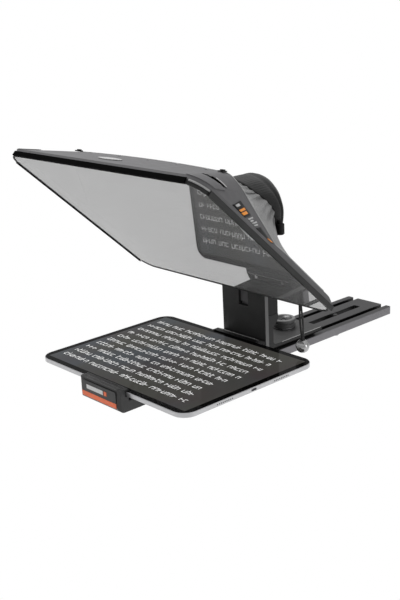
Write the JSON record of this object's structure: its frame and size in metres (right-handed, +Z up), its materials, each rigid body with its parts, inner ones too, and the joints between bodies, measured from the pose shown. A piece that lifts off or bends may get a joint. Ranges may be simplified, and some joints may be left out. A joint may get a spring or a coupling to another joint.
{
  "type": "teleprompter",
  "caption": "Beam-splitter teleprompter with a slanted glass in a hood, a fabric shroud, a sprung tablet holder and a slotted camera rail.",
  "frame": {"origin": "centre of the tripod plate's underside, between its two threaded holes", "axes": "+Z up; +Y along the rail, from the speaker to the camera; +X across the glass, to the right of a person who stands at the speaker's place and looks at the glass"},
  "size_m": [0.3552, 0.5082, 0.3187],
  "materials": {
    "rail_aluminium": "satin grey-black anodising",
    "black_aluminium": "satin black anodising",
    "steel": "zinc-plated",
    "black_steel": "black oxide",
    "black_plastic": "fine moulded texture",
    "grey_plastic": "fine moulded texture",
    "rubber": "matt",
    "orange_plastic": "smooth",
    "tablet_silver": "bead-blasted",
    "tablet_screen": "polished cover glass",
    "beam_splitter": "half-mirror coated",
    "shroud_cloth": "close woven blackout cloth",
    "elastic": "ribbed elastic"
  },
  "bodies": {
    "base": {"tripod_plate": "black_aluminium", "plate_screw_1": "steel", "plate_screw_2": "steel", "plate_screw_3": "steel", "plate_screw_4": "steel", "camera_rail": "rail_aluminium"},
    "carriage": {"foot_bracket": "black_aluminium", "carriage_shoe": "black_plastic", "guide_key_left": "steel", "guide_key_right": "steel", "post_guide_left": "black_plastic", "post_guide_right": "black_plastic", "clamp_nut": "steel", "clamp_stud": "steel", "knob_washer": "steel", "latch_leaf": "steel", "holder_beam": "black_aluminium", "rear_jaw": "black_plastic", "rear_jaw_screw_1": "steel", "rear_jaw_screw_2": "steel", "rear_jaw_pad": "rubber"},
    "knob": {"lock_knob": "black_plastic", "knob_insert": "black_aluminium"},
    "latch": {"latch_button": "grey_plastic"},
    "jaw": {"front_jaw": "black_plastic", "jaw_label": "black_plastic", "jaw_stripe": "orange_plastic", "front_jaw_pad": "rubber", "arm_sleeve": "black_aluminium"},
    "tablet": {"tablet_case": "tablet_silver", "tablet_battery": "black_plastic", "tablet_screen": "tablet_screen"},
    "hood": {"hood_shell": "grey_plastic", "roof_badge": "black_plastic", "roof_stud_1": "steel", "roof_stud_2": "steel", "roof_stud_3": "steel", "roof_stud_4": "steel", "roof_stud_5": "steel", "corner_clip_left": "black_plastic", "corner_clip_right": "black_plastic", "beam_splitter_glass": "beam_splitter", "glass_gasket": "rubber", "top_bar": "black_plastic", "left_bar": "black_plastic", "right_bar": "black_plastic", "shroud_fabric": "shroud_cloth", "shroud_collar": "elastic", "cord_lock_body": "black_plastic", "hood_carrier": "black_aluminium", "cord_anchor": "black_plastic", "cord_strand_left": "elastic", "cord_strand_right": "elastic", "cord_ball": "grey_plastic"},
    "cord_lock": {"cord_lock_button": "black_plastic"},
    "screw_slider": {"screw_washer": "steel"},
    "screw": {"camera_screw": "black_steel"},
    "ring": {"screw_ring": "steel"}
  },
  "joints": [
    {"name": "carriage_slide", "type": "slide", "parent": "base", "child": "carriage", "axis": [0, -1, 0], "range_m": [0, 0.035]},
    {"name": "knob_turn", "type": "hinge", "parent": "carriage", "child": "knob", "pos_m": [0, 0.031, 0.03], "axis": [0, 0, 1], "range_deg": [0, 360]},
    {"name": "latch_press", "type": "slide", "parent": "carriage", "child": "latch", "axis": [0, 1, 0], "range_m": [0, 0.0025], "stiffness_N_per_m": 600},
    {"name": "jaw_slide", "type": "slide", "parent": "carriage", "child": "jaw", "axis": [0, -1, 0], "range_m": [0, 0.015], "stiffness_N_per_m": 500},
    {"name": "tablet_slide", "type": "slide", "parent": "carriage", "child": "tablet", "axis": [1, 0, 0], "range_m": [0, 0.3]},
    {"name": "hood_lift", "type": "slide", "parent": "carriage", "child": "hood", "axis": [0, 0, 1], "range_m": [0, 0.03]},
    {"name": "cord_lock_press", "type": "slide", "parent": "hood", "child": "cord_lock", "axis": [0, 0, -1], "range_m": [0, 0.003], "stiffness_N_per_m": 400},
    {"name": "screw_slide", "type": "slide", "parent": "base", "child": "screw_slider", "axis": [0, 1, 0], "range_m": [-0.08, 0.04]},
    {"name": "screw_turn", "type": "hinge", "parent": "screw_slider", "child": "screw", "pos_m": [0, 0.141, 0.01], "axis": [0, 0, 1], "continuous": true},
    {"name": "ring_fold", "type": "hinge", "parent": "screw", "child": "ring", "pos_m": [0, 0.141, -0.0028], "axis": [1, 0, 0], "range_deg": [-85, 85]}
  ]
}
